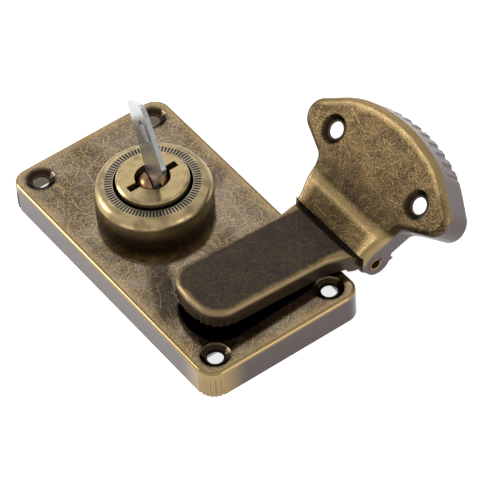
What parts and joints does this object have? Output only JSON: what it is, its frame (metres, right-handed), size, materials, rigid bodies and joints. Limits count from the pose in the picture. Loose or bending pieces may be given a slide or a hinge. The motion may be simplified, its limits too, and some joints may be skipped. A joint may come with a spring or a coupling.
{
  "type": "chest lock",
  "caption": "Chest lock: keyed cylinder on a drawn plate, with a hasp tongue whose staple enters the plate and a fan-shaped hinge plate.",
  "frame": {"origin": "centre of the lock plate's back face", "axes": "+X along the plate towards the hasp tongue, +Y towards the hinge plate, +Z out of the chest"},
  "size_m": [0.0711, 0.0605, 0.0357],
  "materials": {
    "lock_plate": "antique bronze over steel, scratched",
    "bezel": "antique brass, polished on its shoulder",
    "barrel": "dark brass",
    "keyhole_disc": "antique brass, brushed",
    "barrel_ring": "plain steel",
    "barrel_rivets": "plain steel",
    "back_plate": "zinc plated",
    "plate_studs": "zinc plated",
    "front_bolt_guide": "plain steel",
    "rear_bolt_guide": "plain steel",
    "guide_rivets": "plain steel",
    "spring_post": "plain steel",
    "detent_spring": "spring steel",
    "bolt": "plain steel",
    "cam": "plain brass",
    "cam_peg": "plain brass",
    "plug_half_front": "coppery brass",
    "plug_half_back": "coppery brass",
    "key": "nickel plated",
    "tongue": "dark antique bronze, edges rubbed golden",
    "staple": "plain steel",
    "hinge_pin": "coppery",
    "hinge_plate": "antique bronze, mottled"
  },
  "bodies": {
    "base": {"lock_plate": "lock_plate", "bezel": "bezel", "barrel": "barrel", "keyhole_disc": "keyhole_disc", "barrel_ring": "barrel_ring", "barrel_rivets": "barrel_rivets", "back_plate": "back_plate", "plate_studs": "plate_studs", "front_bolt_guide": "front_bolt_guide", "rear_bolt_guide": "rear_bolt_guide", "guide_rivets": "guide_rivets", "spring_post": "spring_post", "detent_spring": "detent_spring"},
    "key_and_plug": {"cam": "cam", "cam_peg": "cam_peg", "plug_half_front": "plug_half_front", "plug_half_back": "plug_half_back", "key": "key"},
    "bolt": {"bolt": "bolt"},
    "hasp_tongue": {"tongue": "tongue", "staple": "staple", "hinge_pin": "hinge_pin"},
    "hinge_plate": {"hinge_plate": "hinge_plate"}
  },
  "joints": [
    {"name": "key_turn", "type": "hinge", "parent": "base", "child": "key_and_plug", "pos_m": [-0.00925, 0.0003, 0.0136], "axis": [0, 0, 1], "range_deg": [-75.5, 14.5]},
    {"name": "bolt_slide", "type": "slide", "parent": "base", "child": "bolt", "axis": [1, 0, 0], "range_m": [-0.00079, 0.00415]},
    {"name": "hasp_lift", "type": "slide", "parent": "base", "child": "hasp_tongue", "axis": [0, 0, 1], "range_m": [0, 0.016]},
    {"name": "hinge_fold", "type": "hinge", "parent": "hasp_tongue", "child": "hinge_plate", "pos_m": [0.01835, 0.0234, 0.00565], "axis": [1, 0, 0], "range_deg": [-46, 3]}
  ],
  "couplings": [
    {"joint": "key_turn", "follows": "bolt_slide", "rad_per_m": -317.35}
  ]
}
